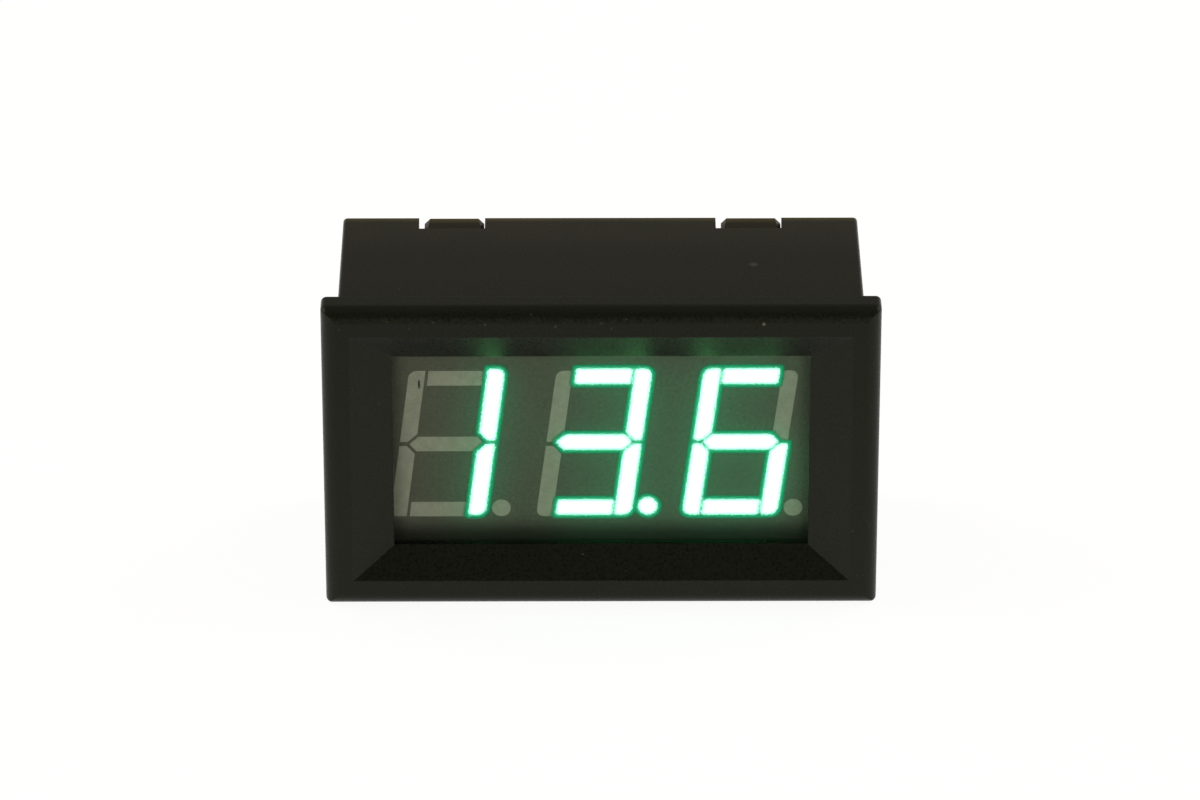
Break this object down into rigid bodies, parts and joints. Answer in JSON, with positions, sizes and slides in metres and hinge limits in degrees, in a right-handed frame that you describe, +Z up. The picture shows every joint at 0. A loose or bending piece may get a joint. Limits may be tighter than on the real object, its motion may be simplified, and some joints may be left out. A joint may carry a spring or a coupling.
{
  "type": "digital panel meter",
  "caption": "Rectangular panel-mount meter with a lit seven-segment display in a sloped recess, snap tongues, a clipped rear cover and a small trimmer.",
  "frame": {"origin": "centre of the bezel's rear face, which seats on the panel", "axes": "+X across the front to the viewer's right, +Y back through the panel, +Z up the front"},
  "size_m": [0.048, 0.021, 0.0288],
  "materials": {
    "case_plastic": "moulded black ABS, satin",
    "cover_plastic": "moulded black ABS, satin",
    "smoked_filter": "smoke-tinted acrylic, matt front",
    "display_grey": "grey painted display face",
    "segment_lit": "diffusing epoxy, lit green",
    "segment_dark": "diffusing epoxy, unlit",
    "led_chip": "bare light-emitting chip",
    "board_green": "green solder mask on glass epoxy",
    "potting_resin": "cast epoxy",
    "tinned_metal": "tin plating",
    "solder": "solder",
    "chip_black": "moulding compound",
    "resistor_black": "coated ceramic",
    "capacitor_tan": "ceramic",
    "tantalum_yellow": "moulded resin",
    "header_cream": "moulded nylon",
    "trimmer_blue": "moulded plastic",
    "rotor_white": "moulded plastic"
  },
  "bodies": {
    "meter": {"front_case": "case_plastic", "rear_cover": "cover_plastic", "filter_lens": "smoked_filter", "display_shell": "display_grey", "digit_1_lit": "segment_lit", "digit_2_lit": "segment_lit", "digit_3_lit": "segment_lit", "digit_1_unlit": "segment_dark", "digit_2_unlit": "segment_dark", "digit_3_unlit": "segment_dark", "display_chips": "led_chip", "display_board": "board_green", "display_potting": "potting_resin", "display_pins": "tinned_metal", "main_board": "board_green", "solder_joints": "solder", "controller_body": "chip_black", "controller_leads": "tinned_metal", "regulator_body": "chip_black", "regulator_leads": "tinned_metal", "transistor_bodies": "chip_black", "transistor_leads": "tinned_metal", "chip_resistors": "resistor_black", "chip_capacitors": "capacitor_tan", "tantalum_capacitor": "tantalum_yellow", "diode_body": "chip_black", "diode_leads": "tinned_metal", "header_housing": "header_cream", "header_pins": "tinned_metal", "trimmer_body": "trimmer_blue", "trimmer_pins": "tinned_metal"},
    "trimmer_rotor": {"trimmer_rotor": "rotor_white"}
  },
  "joints": [
    {"name": "trimmer_turn", "type": "hinge", "parent": "meter", "child": "trimmer_rotor", "pos_m": [0.0125, 0.0144, 0], "axis": [0, 1, 0], "range_deg": [-130, 130]}
  ]
}
